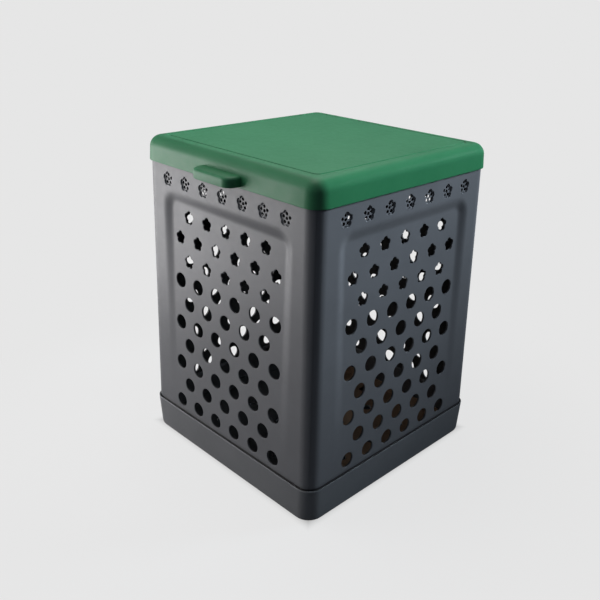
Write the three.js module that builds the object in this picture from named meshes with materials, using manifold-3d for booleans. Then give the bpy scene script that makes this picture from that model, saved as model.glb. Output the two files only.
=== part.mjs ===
// Square garden wormery: a base tray, four pierced wall panels and a hinged lid.
// Millimetres, +Z up. The origin is the middle of the tray's underside, and the lid's tab is on the -Y side.

import * as THREE from 'three';
import { mergeGeometries, mergeVertices } from 'three/addons/utils/BufferGeometryUtils.js';
import Module from 'manifold-3d';

const wasm = await Module();
wasm.setup();

// Bin: height of its open rim, half width just over the tray, and how far each wall leans in from there
const binHeight = 372.7;
const wallFootHalf = 144.4;
const wallLean = 5.8;
const wallThickness = 2.5;
const cornerRadius = 16;

// Running and seating gaps, and the share of one within which two corners are one point
const seatGap = 0.3;
const weldShare = 0.001;
const jointGap = 0.3;
const trayGap = 0.4;
const lidGap = 0.75;
const hingeGap = 0.4;
const pinGap = 0.3;

// Overrun of every cut, and the depth to which a joined piece is sunk in its carrier
const cutOverrun = 2;
const joinSink = 1.1;

// Base tray
const trayHeight = 43.3;
const trayRimProud = 2.4;
const trayLean = 1.8;
const trayFloor = 3;
const trayFootRadius = 4;
const trayRibHeight = 12;
const trayRibThickness = 2.2;
const drainRadius = 6;
const drainPitch = 56;
const drainRows = 4;
const drainSides = 6;

// Step at the foot of each wall, where it drops into the tray
const footInset = 2.8;
const shelfThickness = 2.6;

// Lapped joint down each corner
const lapAngle = THREE.MathUtils.degToRad(22);
const lapSteps = 1;
const cornerSteps = 2;

// Recessed field of each wall: flush low down and deepest at its top edge
const fieldFlushRise = 21.4;
const fieldTopDrop = 58.2;
const fieldSideMargin = 43.1;
const fieldDepth = 4.3;
const fieldSlopeWidth = 12.5;
const fieldSlopeHeight = 10.5;
const fieldCornerRadius = 8;
const fieldCornerSteps = 2;
const fieldLevels = 2;

// Holes of the field: three rows of stars above seven rows of round holes, staggered
const roundRows = 7;
const starRows = 3;
const lowestRowRise = 15.2;
const topRowDrop = 72.8;
const starPitchShare = 0.978;
const longRowHoles = 6;
const lowColumnMargin = 10.5;
const topColumnMargin = 13.8;
const roundHoleRadius = 9.1;
const roundHoleSides = 8;
const starLobes = 5;
const starOuterRadius = 8.2;
const starNotchRadius = 5.7;

// Vents under the lid: five small holes round a sixth
const ventCount = 7;
const ventDrop = 32.5;
const ventSideMargin = 40.8;
const ventRingRadius = 4.7;
const ventHoleRadius = 1.9;
const ventHoleSides = 3;

// Lid
const lidOverlap = 17.4;
const lidRise = 10.1;
const lidSkirtThickness = 1.8;
const lidSkirtDraft = 1;
const lidEdgeRadius = 13;
const lidEdgeSteps = 4;
const lidTopCornerRadius = 7;
const lidPlateThickness = 2.6;
const lidLedgeWidth = 5.4;
const lidInsetMargin = 19.4;
const lidCrown = 0.9;
const lidCrownShare = 0.57;
const lidRibHeight = 4;
const lidRibThickness = 2.2;
const lidRibShare = 0.45;

// Finger tab on the front of the lid
const tabWidth = 65;
const tabOffset = 1;
const tabReach = 16;
const tabThickness = 11;
const tabLift = 1.6;
const tabCornerRadius = 12;
const tabCornerSteps = 4;
const tabEdgeRadius = 3.2;
const tabShell = 2.2;

// Hinges on the back
const hingeRadius = 5;
const hingeReach = 6.1;
const hingePinRadius = 2;
const hingePinHeadRadius = 3.3;
const hingePinHeadThickness = 1.3;
const earThickness = 3.4;
const knuckleWidth = 8.2;
const earDrop = 22;
const knuckleArmHeight = 11;
const lidOpening = THREE.MathUtils.degToRad(110);
const toeSpread = THREE.MathUtils.degToRad(28);
const hingeArcSteps = 5;
const pinSides = 8;

// Values that follow from those above
const quarterTurn = Math.PI / 2;
const trayRimHalf = wallFootHalf + trayRimProud;
const trayBottomHalf = trayRimHalf - trayLean;
const wallFootHeight = trayFloor + seatGap;
const wallBaseHeight = trayHeight + seatGap;
const wallRise = binHeight - wallBaseHeight;
const wallTopHalf = wallFootHalf - wallLean;
const fieldFlushHeight = wallBaseHeight + fieldFlushRise;
const fieldTopHeight = binHeight - fieldTopDrop;
const fieldHalfWidth = wallTopHalf - fieldSideMargin;
const lowestRowHeight = wallBaseHeight + lowestRowRise;
const highestRowHeight = binHeight - topRowDrop;
const pitchesOfField = roundRows - 1 + (1 + starPitchShare) / 2 + (starRows - 1) * starPitchShare;
const roundRowPitch = (highestRowHeight - lowestRowHeight) / pitchesOfField;
const starRowPitch = roundRowPitch * starPitchShare;
const lowColumnPitch = 2 * (fieldHalfWidth - lowColumnMargin) / (longRowHoles - 1);
const topColumnPitch = 2 * (fieldHalfWidth - topColumnMargin) / (longRowHoles - 1);
const ventHeight = binHeight - ventDrop;
const ventPitch = 2 * (wallTopHalf - ventSideMargin) / (ventCount - 1);
const shelfTopHeight = wallBaseHeight + shelfThickness;
const footHalf = wallFootHalf - footInset;
const footCornerRadius = cornerRadius - footInset;
const lidSkirtHeight = binHeight - lidOverlap;
const lidInnerHalf = wallHalfAt(lidSkirtHeight) + lidGap;
const lidOuterHalf = lidInnerHalf + lidSkirtThickness;
const lidCornerRadius = cornerRadius + lidOuterHalf - wallHalfAt(lidSkirtHeight);
const lidLedgeHeight = binHeight + seatGap;
const lidInnerDraft = lidInnerHalf - wallTopHalf - lidGap;
const lidTopHeight = lidLedgeHeight + lidRise;
const lidInsetHalf = lidOuterHalf - lidInsetMargin;
const hingePlace = (ventCount / 2 - 1) * ventPitch;
const hingeAxisY = lidOuterHalf + hingeReach;
const hingeAxisZ = lidSkirtHeight;
const toeLength = hingeAxisY - wallHalfAt(hingeAxisZ) - seatGap;
const toeAngle = lidOpening - 2 * quarterTurn;

function wallHalfAt(z) {
  return wallFootHalf - wallLean * (z - wallBaseHeight) / wallRise;
}

function fieldDepthAt(z) {
  return fieldDepth * (z - fieldFlushHeight) / (fieldTopHeight - fieldFlushHeight);
}

// Solids

function solidOf(geometry) {
  const bare = geometry.index ? geometry.toNonIndexed() : geometry.clone();
  bare.deleteAttribute('normal');
  bare.deleteAttribute('uv');
  const merged = mergeVertices(bare, seatGap * weldShare);
  const index = merged.index.array;
  const kept = [];
  for (let i = 0; i < index.length; i += 3) {
    const [a, b, c] = [index[i], index[i + 1], index[i + 2]];
    if (a !== b && b !== c && c !== a) kept.push(a, b, c);
  }
  return new wasm.Manifold(new wasm.Mesh({
    numProp: 3,
    vertProperties: new Float32Array(merged.attributes.position.array),
    triVerts: new Uint32Array(kept),
  }));
}

function geometryOf(solid) {
  const mesh = solid.getMesh();
  const geometry = new THREE.BufferGeometry();
  geometry.setAttribute('position', new THREE.BufferAttribute(new Float32Array(mesh.vertProperties), mesh.numProp));
  geometry.setIndex(new THREE.BufferAttribute(new Uint32Array(mesh.triVerts), 1));
  const flat = geometry.toNonIndexed();
  flat.computeVertexNormals();
  return flat;
}

// Skin through a stack of rings with equal point counts, closed by a cap at each end
function loft(rings) {
  const positions = [];
  const push = (...points) => points.forEach((point) => positions.push(point.x, point.y, point.z));
  const count = rings[0].length;
  for (let level = 0; level + 1 < rings.length; level += 1) {
    const [lower, upper] = [rings[level], rings[level + 1]];
    for (let i = 0; i < count; i += 1) {
      const next = (i + 1) % count;
      push(lower[i], lower[next], upper[next]);
      push(lower[i], upper[next], upper[i]);
    }
  }
  const caps = [rings[0], rings[rings.length - 1]];
  caps.forEach((ring, end) => {
    const flat = ring.map((point) => (point.cap ? point.cap : new THREE.Vector2(point.x, point.y)));
    for (const [a, b, c] of THREE.ShapeUtils.triangulateShape(flat, [])) {
      if (end) push(ring[a], ring[b], ring[c]);
      else push(ring[a], ring[c], ring[b]);
    }
  });
  const geometry = new THREE.BufferGeometry();
  geometry.setAttribute('position', new THREE.Float32BufferAttribute(positions, 3));
  return geometry;
}

// Ring of a square with round corners, counter-clockwise from above
function squareRing(z, half, radius, steps) {
  const ring = [];
  for (let corner = 0; corner < 4; corner += 1) {
    const turn = corner * quarterTurn;
    for (let i = 0; i <= steps; i += 1) {
      const angle = turn + quarterTurn * i / steps;
      const away = half - radius;
      const [cx, cy] = [[away, away], [-away, away], [-away, -away], [away, -away]][corner];
      ring.push(new THREE.Vector3(cx + radius * Math.cos(angle), cy + radius * Math.sin(angle), z));
    }
  }
  return ring;
}

function squareSolid(levels) {
  return solidOf(loft(levels.map(([z, half, radius]) => squareRing(z, half, radius, 2 * cornerSteps))));
}

// Outline with round lobes' tips and notches, one lobe up
function starOutline(outer, notch, shift) {
  const points = [];
  for (let i = 0; i < 2 * starLobes; i += 1) {
    const angle = quarterTurn + Math.PI * i / starLobes;
    const reach = i % 2 ? notch : outer;
    points.push(new THREE.Vector2(shift.x + reach * Math.cos(angle), shift.y + reach * Math.sin(angle)));
  }
  return points;
}

function circleOutline(radius, sides, shift) {
  const points = [];
  for (let i = 0; i < sides; i += 1) {
    const angle = quarterTurn + 2 * Math.PI * i / sides;
    points.push(new THREE.Vector2(shift.x + radius * Math.cos(angle), shift.y + radius * Math.sin(angle)));
  }
  return points;
}

// Prism of an outline drawn in x and height, from one depth to another along y
function wallPrism(outline, near, far) {
  const geometry = new THREE.ExtrudeGeometry(new THREE.Shape(outline), { depth: far - near, bevelEnabled: false });
  geometry.rotateX(quarterTurn);
  geometry.translate(0, far, 0);
  return geometry;
}

// Slab of an outline drawn in distance from the axis plane and height, centred on a place along x
function sidePlate(outline, holes, width, outward, centre) {
  const shape = new THREE.Shape(outline);
  shape.holes = holes.map((points) => new THREE.Path(points));
  const geometry = new THREE.ExtrudeGeometry(shape, { depth: width, bevelEnabled: false });
  geometry.translate(0, 0, -width / 2);
  const along = new THREE.Vector3(outward, 0, 0);
  geometry.applyMatrix4(new THREE.Matrix4().makeBasis(
    new THREE.Vector3(0, outward, 0),
    new THREE.Vector3(0, 0, 1),
    along,
  ));
  geometry.translate(centre, 0, 0);
  return geometry;
}

// Wall panels

function cornerPoint(half, radius, reach, side, angle, z) {
  const away = half - radius;
  return new THREE.Vector3(side * away + reach * Math.cos(angle), -away + reach * Math.sin(angle), z);
}

// Plan section of the front panel: it ends on the corner ridges, and its inner half laps past one of them
function panelRing(z, half, radius, thickness, lap) {
  const inner = radius - thickness;
  const middle = inner + wallThickness / 2;
  const leftRidge = -quarterTurn * 3 / 2;
  const rightRidge = -quarterTurn / 2;
  const gapAngle = jointGap / 2 / radius;
  const ring = [];
  const arc = (side, reach, from, to, steps) => {
    for (let i = 0; i <= steps; i += 1) {
      ring.push(cornerPoint(half, radius, reach, side, from + (to - from) * i / steps, z));
    }
  };
  const bottom = -quarterTurn;
  arc(-1, radius, leftRidge + gapAngle, bottom, cornerSteps);
  arc(1, radius, bottom, rightRidge - gapAngle, cornerSteps);
  arc(1, middle - jointGap / 2, rightRidge - gapAngle, rightRidge - gapAngle + lap, lapSteps);
  arc(1, inner, rightRidge - gapAngle + lap, bottom, cornerSteps + lapSteps);
  const cut = lap ? lap + gapAngle : 0;
  arc(-1, inner, bottom, leftRidge + gapAngle + cut, cornerSteps);
  arc(-1, middle + jointGap / 2, leftRidge + gapAngle + cut, leftRidge + gapAngle, lapSteps);
  return ring;
}

function panelSlab() {
  const base = wallHalfAt(shelfTopHeight);
  const lapStart = shelfTopHeight + jointGap;
  const deep = footInset + wallThickness;
  return solidOf(loft([
    panelRing(wallFootHeight, footHalf, footCornerRadius, wallThickness, 0),
    panelRing(wallBaseHeight, footHalf, footCornerRadius, wallThickness, 0),
    panelRing(wallBaseHeight, wallFootHalf, cornerRadius, deep, 0),
    panelRing(shelfTopHeight, base, cornerRadius, deep, 0),
    panelRing(shelfTopHeight, base, cornerRadius, wallThickness, 0),
    panelRing(lapStart, wallHalfAt(lapStart), cornerRadius, wallThickness, 0),
    panelRing(lapStart, wallHalfAt(lapStart), cornerRadius, wallThickness, lapAngle),
    panelRing(binHeight, wallTopHalf, cornerRadius, wallThickness, lapAngle),
  ]));
}

// Body with soft sloping sides that sinks the field: it is cut from the face and added behind the wall
function fieldBody(shift, spread, backing) {
  const outline = [];
  const side = fieldHalfWidth - fieldCornerRadius;
  const top = fieldTopHeight - fieldCornerRadius;
  for (let i = 0; i <= fieldLevels; i += 1) {
    outline.push([1, 0, fieldHalfWidth, fieldFlushHeight + (top - fieldFlushHeight) * i / fieldLevels]);
  }
  for (const from of [0, quarterTurn]) {
    const facing = from ? -1 : 1;
    for (let i = 0; i <= fieldCornerSteps; i += 1) {
      const angle = from + quarterTurn * i / fieldCornerSteps;
      const [ax, az] = [Math.cos(angle), Math.sin(angle)];
      const isStart = !from && !i;
      const isEnd = from && i === fieldCornerSteps;
      if (isStart || isEnd) continue;
      outline.push([ax, az, facing * side + fieldCornerRadius * ax, top + fieldCornerRadius * az]);
    }
  }
  for (let i = fieldLevels; i >= 0; i -= 1) {
    outline.push([-1, 0, -fieldHalfWidth, fieldFlushHeight + (top - fieldFlushHeight) * i / fieldLevels]);
  }
  const ringAt = (share, extra) => outline.map(([ax, az, x, z]) => {
    const px = x + share * fieldSlopeWidth * ax;
    const pz = z + share * fieldSlopeHeight * az;
    const y = shift - wallHalfAt(pz) + (1 - share) * Math.max(fieldDepthAt(z), 0) - extra;
    const point = new THREE.Vector3(px, y, pz);
    point.cap = new THREE.Vector2(px, pz);
    return point;
  });
  return solidOf(loft([ringAt(0, 0), ringAt(spread, 0), ringAt(spread, backing)]));
}

// Places of the holes on the wall, as pairs of x and height
function starPlaces() {
  return rowPlaces(starRows, highestRowHeight - (starRows - 1) * starRowPitch, starRowPitch, roundRows);
}

function roundPlaces() {
  return rowPlaces(roundRows, lowestRowHeight, roundRowPitch, 0);
}

function rowPlaces(rows, lowest, pitch, before) {
  const places = [];
  for (let row = 0; row < rows; row += 1) {
    const z = lowest + row * pitch;
    const rise = (z - lowestRowHeight) / (highestRowHeight - lowestRowHeight);
    const columnPitch = lowColumnPitch + (topColumnPitch - lowColumnPitch) * rise;
    const count = (row + before) % 2 ? longRowHoles - 1 : longRowHoles;
    for (let i = 0; i < count; i += 1) {
      places.push(new THREE.Vector2((i - (count - 1) / 2) * columnPitch, z));
    }
  }
  return places;
}

function ventPlaces() {
  const places = [];
  for (let i = 0; i < ventCount; i += 1) {
    places.push(new THREE.Vector2((i - (ventCount - 1) / 2) * ventPitch, ventHeight));
  }
  return places;
}

function wallCuts() {
  const outside = -wallFootHalf - cutOverrun;
  const inside = -wallTopHalf + wallThickness + fieldDepth + cutOverrun;
  const prisms = [];
  for (const place of starPlaces()) {
    prisms.push(wallPrism(starOutline(starOuterRadius, starNotchRadius, place), outside, inside));
  }
  for (const place of roundPlaces()) {
    prisms.push(wallPrism(circleOutline(roundHoleRadius, roundHoleSides, place), outside, inside));
  }
  for (const place of ventPlaces()) {
    const ring = circleOutline(ventRingRadius, starLobes, place);
    for (const centre of [place, ...ring]) {
      prisms.push(wallPrism(circleOutline(ventHoleRadius, ventHoleSides, centre), outside, inside));
    }
  }
  return solidOf(mergeGeometries(prisms));
}

function wallPanel() {
  const slope = 1.04;
  const recess = fieldBody(0, slope, cutOverrun);
  const bulge = fieldBody(wallThickness, slope, wallThickness / 2);
  return panelSlab().add(bulge).subtract(recess).subtract(wallCuts());
}

// Hinge outlines are drawn in distance outward and height
function hingeArc(from, to, steps) {
  const points = [];
  for (let i = 0; i <= steps; i += 1) {
    const angle = from + (to - from) * i / steps;
    points.push(new THREE.Vector2(
      hingeAxisY + hingeRadius * Math.cos(angle),
      hingeAxisZ + hingeRadius * Math.sin(angle),
    ));
  }
  return points;
}

function pinHole() {
  const radius = hingePinRadius + pinGap;
  const points = [];
  for (let i = 0; i < pinSides; i += 1) {
    const angle = 2 * Math.PI * (i + 1 / 2) / pinSides;
    points.push(new THREE.Vector2(hingeAxisY + radius * Math.cos(angle), hingeAxisZ + radius * Math.sin(angle)));
  }
  return points;
}

function earPlates() {
  const shoulder = lidSkirtHeight - hingeGap;
  const root = wallHalfAt(shoulder) - joinSink;
  const outline = [
    new THREE.Vector2(root, shoulder - earDrop),
    ...hingeArc(-quarterTurn / 2, 2 * quarterTurn, hingeArcSteps),
    new THREE.Vector2(hingeAxisY - hingeRadius, shoulder),
    new THREE.Vector2(root, shoulder),
  ];
  const away = (knuckleWidth + earThickness) / 2 + hingeGap;
  const plates = [];
  for (const side of [-1, 1]) {
    for (const ear of [-1, 1]) {
      plates.push(sidePlate(outline, [pinHole()], earThickness, -1, side * hingePlace + ear * away));
    }
  }
  return solidOf(mergeGeometries(plates));
}

// Lid

function lidShell() {
  const outer = [[lidSkirtHeight, lidOuterHalf, lidCornerRadius]];
  for (let i = 0; i <= lidEdgeSteps; i += 1) {
    const angle = quarterTurn * i / lidEdgeSteps;
    const inset = lidEdgeRadius * (1 - Math.cos(angle));
    outer.push([
      lidTopHeight - lidEdgeRadius + lidEdgeRadius * Math.sin(angle),
      lidOuterHalf - lidSkirtDraft - inset,
      lidCornerRadius - lidSkirtDraft - inset,
    ]);
  }
  outer.push([lidTopHeight + lidCrown / 3, lidInsetHalf, lidTopCornerRadius]);
  outer.push([lidTopHeight + lidCrown, lidInsetHalf * lidCrownShare, lidTopCornerRadius]);
  const ledgeHalf = lidInnerHalf - lidLedgeWidth;
  const innerRadius = lidCornerRadius - lidSkirtThickness;
  const ledgeRadius = innerRadius - lidLedgeWidth;
  const underside = lidTopHeight - lidPlateThickness;
  const inner = [
    [lidSkirtHeight - cutOverrun, lidInnerHalf, innerRadius],
    [lidLedgeHeight, lidInnerHalf - lidInnerDraft, innerRadius - lidInnerDraft],
    [lidLedgeHeight, ledgeHalf, ledgeRadius],
    [underside - lidPlateThickness, ledgeHalf, ledgeRadius],
    [underside, ledgeHalf - lidPlateThickness, ledgeRadius - lidPlateThickness],
  ];
  return squareSolid(outer).subtract(squareSolid(inner));
}

// Ribs that stiffen the plate from below
function lidRibs() {
  const underside = lidTopHeight - lidPlateThickness;
  const reach = lidInnerHalf - lidLedgeWidth;
  const height = lidRibHeight + joinSink;
  let ribs = null;
  for (const turn of [0, quarterTurn]) {
    for (const side of [-1, 1]) {
      const rib = new THREE.BoxGeometry(2 * reach, lidRibThickness, height);
      rib.translate(0, side * reach * lidRibShare, underside + joinSink - height / 2);
      rib.rotateZ(turn);
      ribs = ribs ? ribs.add(solidOf(rib)) : solidOf(rib);
    }
  }
  return ribs;
}

// Plan outline of the tab, from the lid's face outward, as a ring at one height
function tabRing(z, reach, halfWidth, radius, root) {
  const ring = [new THREE.Vector3(-halfWidth, root, z)];
  const front = -lidOuterHalf - reach;
  for (const side of [-1, 1]) {
    const from = side < 0 ? -2 * quarterTurn : -quarterTurn;
    for (let i = 0; i <= tabCornerSteps; i += 1) {
      const angle = from + quarterTurn * i / tabCornerSteps;
      ring.push(new THREE.Vector3(
        side * (halfWidth - radius) + radius * Math.cos(angle),
        front + radius + radius * Math.sin(angle),
        z,
      ));
    }
  }
  ring.push(new THREE.Vector3(halfWidth, root, z));
  return ring;
}

function tabSolid() {
  const low = lidSkirtHeight + tabLift;
  const high = low + tabThickness;
  const root = -lidOuterHalf + joinSink;
  const half = tabWidth / 2;
  const edge = tabEdgeRadius;
  const body = solidOf(loft([
    tabRing(low, tabReach - edge / 3, half - edge / 3, tabCornerRadius, root),
    tabRing(low + edge / 3, tabReach, half, tabCornerRadius, root),
    tabRing(high - edge, tabReach, half, tabCornerRadius, root),
    tabRing(high - edge / 3, tabReach - edge / 3, half - edge / 3, tabCornerRadius - edge / 3, root),
    tabRing(high, tabReach - edge, half - edge, tabCornerRadius - edge, root),
  ]));
  const hollowRadius = tabCornerRadius - tabShell;
  const hollow = solidOf(loft([
    tabRing(low - cutOverrun, tabReach - tabShell, half - tabShell, hollowRadius, -lidOuterHalf),
    tabRing(high - tabShell, tabReach - tabShell, half - tabShell, hollowRadius, -lidOuterHalf),
  ]));
  return body.subtract(hollow).translate([tabOffset, 0, 0]);
}

function knucklePlates() {
  const root = lidOuterHalf - joinSink;
  const tip = (turn) => new THREE.Vector2(
    hingeAxisY + toeLength / Math.cos(turn) * Math.cos(toeAngle + turn),
    hingeAxisZ + toeLength / Math.cos(turn) * Math.sin(toeAngle + turn),
  );
  const outline = [
    ...hingeArc(toeAngle + toeSpread, quarterTurn, hingeArcSteps - 2),
    new THREE.Vector2(root, hingeAxisZ + knuckleArmHeight),
    new THREE.Vector2(root, hingeAxisZ),
    ...hingeArc(2 * quarterTurn, 4 * quarterTurn + toeAngle - toeSpread / 2, 3),
    tip(0),
    tip(toeSpread),
  ];
  const plates = [-1, 1].map((side) => sidePlate(outline, [pinHole()], knuckleWidth, 1, side * hingePlace));
  return solidOf(mergeGeometries(plates));
}

function lidSolid() {
  return lidShell().add(lidRibs()).add(tabSolid()).add(knucklePlates());
}

// Base tray

function traySolid() {
  const radiusAt = (half) => cornerRadius + half - wallFootHalf;
  const outer = [];
  for (let i = 0; i <= cornerSteps; i += 1) {
    const angle = quarterTurn * i / cornerSteps;
    const half = trayBottomHalf - trayFootRadius * (1 - Math.sin(angle));
    outer.push([trayFootRadius * (1 - Math.cos(angle)), half, radiusAt(half)]);
  }
  outer.push([trayHeight, trayRimHalf, radiusAt(trayRimHalf)]);
  const channelHalf = footHalf + trayGap;
  const channelRadius = footCornerRadius + trayGap;
  const inner = [
    [trayFloor, channelHalf, channelRadius],
    [trayHeight + cutOverrun, channelHalf, channelRadius],
  ];
  const ribHalf = footHalf - wallThickness - trayGap;
  const ribRadius = footCornerRadius - wallThickness - trayGap;
  const ribTop = trayFloor + trayRibHeight;
  const rib = squareSolid([
    [trayFloor - joinSink, ribHalf, ribRadius],
    [ribTop, ribHalf, ribRadius],
  ]).subtract(squareSolid([
    [trayFloor - cutOverrun, ribHalf - trayRibThickness, ribRadius - trayRibThickness],
    [ribTop + cutOverrun, ribHalf - trayRibThickness, ribRadius - trayRibThickness],
  ]));
  const drains = [];
  for (let row = 0; row < drainRows; row += 1) {
    for (let column = 0; column < drainRows; column += 1) {
      const place = [row, column].map((i) => (i - (drainRows - 1) / 2) * drainPitch);
      const drain = new THREE.CylinderGeometry(drainRadius, drainRadius, trayFloor + 2 * cutOverrun, drainSides);
      drain.rotateX(quarterTurn);
      drain.translate(place[0], place[1], trayFloor / 2);
      drains.push(drain);
    }
  }
  const shell = squareSolid(outer).subtract(squareSolid(inner)).add(rib);
  return shell.subtract(solidOf(mergeGeometries(drains)));
}

// Hinge pins: a round head and a plain shank
function hingePin() {
  const length = knuckleWidth + 2 * (earThickness + hingeGap);
  const end = length / 2 + seatGap;
  const profile = [
    new THREE.Vector2(0, -end),
    new THREE.Vector2(hingePinRadius, -end),
    new THREE.Vector2(hingePinRadius, end),
    new THREE.Vector2(hingePinHeadRadius, end),
    new THREE.Vector2(hingePinHeadRadius, end + hingePinHeadThickness),
    new THREE.Vector2(0, end + hingePinHeadThickness),
  ];
  return geometryOf(solidOf(new THREE.LatheGeometry(profile, pinSides)));
}

// The assembly

const wallMaterial = new THREE.MeshStandardMaterial({ color: 0x7d8084, roughness: 0.5, metalness: 0 });
const trayMaterial = new THREE.MeshStandardMaterial({ color: 0x6f7276, roughness: 0.5, metalness: 0 });
const lidMaterial = new THREE.MeshStandardMaterial({ color: 0x4c8767, roughness: 0.45, metalness: 0 });
const pinMaterial = new THREE.MeshStandardMaterial({ color: 0x3a3c3e, roughness: 0.5, metalness: 0 });

const group = new THREE.Group();

function place(name, geometry, material, turn) {
  const mesh = new THREE.Mesh(geometry, material);
  mesh.name = name;
  mesh.rotation.z = turn;
  group.add(mesh);
  return mesh;
}

place('base_tray', geometryOf(traySolid()), trayMaterial, 0);

const panel = wallPanel();
const panelGeometry = geometryOf(panel);
place('wall_front', panelGeometry, wallMaterial, 0);
place('wall_right', panelGeometry, wallMaterial, quarterTurn);
place('wall_back', geometryOf(panel.add(earPlates())), wallMaterial, 2 * quarterTurn);
place('wall_left', panelGeometry, wallMaterial, -quarterTurn);

place('lid', geometryOf(lidSolid()), lidMaterial, 0);

for (const [name, side] of [['hinge_pin_left', -1], ['hinge_pin_right', 1]]) {
  const pin = place(name, hingePin(), pinMaterial, -side * quarterTurn);
  pin.position.set(side * hingePlace, hingeAxisY, hingeAxisZ);
}

export default group;
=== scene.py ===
# A small garden wormery: a square bin of four pierced walls that stands in a tray and has a
# hinged lid. Sizes are in millimetres, as the moulds would be drawn, and meshes come out in metres.

import math

import bmesh
import bpy
from mathutils import Matrix, Vector
from mathutils.geometry import delaunay_2d_cdt


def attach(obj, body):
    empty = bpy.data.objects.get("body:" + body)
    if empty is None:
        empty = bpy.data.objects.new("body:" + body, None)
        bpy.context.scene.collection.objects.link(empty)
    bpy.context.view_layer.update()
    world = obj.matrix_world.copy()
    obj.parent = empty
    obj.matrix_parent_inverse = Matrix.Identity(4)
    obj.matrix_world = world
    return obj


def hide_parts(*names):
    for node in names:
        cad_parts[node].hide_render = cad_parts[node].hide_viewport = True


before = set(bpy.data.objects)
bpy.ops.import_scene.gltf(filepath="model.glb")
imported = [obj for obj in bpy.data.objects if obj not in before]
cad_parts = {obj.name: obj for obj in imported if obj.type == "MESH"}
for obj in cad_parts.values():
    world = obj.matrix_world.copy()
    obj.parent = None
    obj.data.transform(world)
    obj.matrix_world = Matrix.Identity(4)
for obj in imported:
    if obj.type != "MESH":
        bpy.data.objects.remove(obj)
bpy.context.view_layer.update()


# The studio. The bin stands on a pale floor in front of a pale backdrop, and the camera looks at
# one corner from a little above. Soft lamps stand far round to its sides, so that each wall is lit
# and the corner between them stays dark. One behind it and one above it light the lid.

camera_turn = math.radians(44.66)
camera_rise = math.radians(23.72)
camera_roll = math.radians(1.562)
camera_distance = 0.9163
look_height = 0.1801
lens_length = 43.89
film_width = 36
frame_shift = (-0.0218, 0.002)

toward_camera = Vector((
    math.sin(camera_turn) * math.cos(camera_rise),
    -math.cos(camera_turn) * math.cos(camera_rise),
    math.sin(camera_rise),
))
level_right = Vector((math.cos(camera_turn), math.sin(camera_turn), 0))
level_up = toward_camera.cross(level_right)
frame_right = level_right * math.cos(camera_roll) + level_up * math.sin(camera_roll)
frame_up = level_up * math.cos(camera_roll) - level_right * math.sin(camera_roll)

camera = bpy.data.objects.new("studio_camera", bpy.data.cameras.new("studio_camera"))
bpy.context.scene.collection.objects.link(camera)
camera.data.lens = lens_length
camera.data.sensor_width = film_width
camera.data.shift_x, camera.data.shift_y = frame_shift
camera.data.clip_start = 0.01
facing = Matrix((frame_right, frame_up, toward_camera)).transposed().to_4x4()
camera_place = Vector((0, 0, look_height)) + toward_camera * camera_distance
camera.matrix_world = Matrix.Translation(camera_place) @ facing
bpy.context.scene.camera = camera
bpy.context.scene.view_settings.view_transform = "Standard"


def soft_lamp(name, turn, rise, distance, width, height, power, tint, aim, spread=180):
    """A softbox. Turn is its angle round to the right of the camera, rise its angle above the
    floor and aim the height that it points at, in degrees and metres."""
    lamp = bpy.data.objects.new(name, bpy.data.lights.new(name, "AREA"))
    bpy.context.scene.collection.objects.link(lamp)
    lamp.data.shape = "RECTANGLE"
    lamp.data.size, lamp.data.size_y = width, height
    lamp.data.energy = power
    lamp.data.color = tint
    lamp.data.spread = math.radians(spread)
    angle = camera_turn + math.radians(turn)
    rise = math.radians(rise)
    level = math.cos(rise)
    away = Vector((math.sin(angle) * level, -math.cos(angle) * level, math.sin(rise)))
    lamp.location = Vector((0, 0, aim)) + away * distance
    lamp.rotation_euler = away.to_track_quat("Z", "Y").to_euler()
    return lamp


left_tint = (1.0, 0.985, 0.99)
right_tint = (0.75, 0.87, 0.98)
behind_tint = (1.0, 0.98, 0.96)
above_tint = (1.0, 0.98, 0.93)
soft_lamp(
    "lamp_left", turn=-97, rise=-4, distance=1.0, width=0.8, height=0.4, power=2.6,
    tint=left_tint, aim=0.32, spread=120,
)
lamp_left_high = soft_lamp(
    "lamp_left_high", turn=-92, rise=28, distance=1.0, width=0.9, height=0.6, power=2.0,
    tint=left_tint, aim=0.34, spread=110,
)
soft_lamp(
    "lamp_left_low", turn=-97, rise=0, distance=0.62, width=0.5, height=0.16, power=0.75,
    tint=left_tint, aim=0.1,
)
lamp_right = soft_lamp(
    "lamp_right", turn=105, rise=15, distance=2.0, width=0.7, height=0.4, power=5.5,
    tint=right_tint, aim=0.57, spread=36,
)
soft_lamp(
    "lamp_behind", turn=180, rise=50, distance=1.1, width=0.7, height=0.7, power=2.3,
    tint=behind_tint, aim=0.38,
)
soft_lamp(
    "lamp_above", turn=-90, rise=82, distance=1.0, width=0.6, height=0.6, power=3.5,
    tint=above_tint, aim=0.38,
)

# These two would draw a hard streak along the lid's rolled edge
lamp_left_high.visible_glossy = False
lamp_right.visible_glossy = False

pale = (0.791, 0.791, 0.791, 1)
room = bpy.data.worlds.new("room")
bpy.context.scene.world = room
room.use_nodes = True
room_nodes = room.node_tree.nodes
room_links = room.node_tree.links
room_nodes.clear()
room_rays = room_nodes.new("ShaderNodeLightPath")
room_dim = room_nodes.new("ShaderNodeBackground")
room_dim.inputs["Color"].default_value = (0.092, 0.108, 0.136, 1)
room_pale = room_nodes.new("ShaderNodeBackground")
room_pale.inputs["Color"].default_value = pale
room_mix = room_nodes.new("ShaderNodeMixShader")
room_out = room_nodes.new("ShaderNodeOutputWorld")
room_links.new(room_rays.outputs["Is Camera Ray"], room_mix.inputs[0])
room_links.new(room_dim.outputs[0], room_mix.inputs[1])
room_links.new(room_pale.outputs[0], room_mix.inputs[2])
room_links.new(room_mix.outputs[0], room_out.inputs[0])

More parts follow.
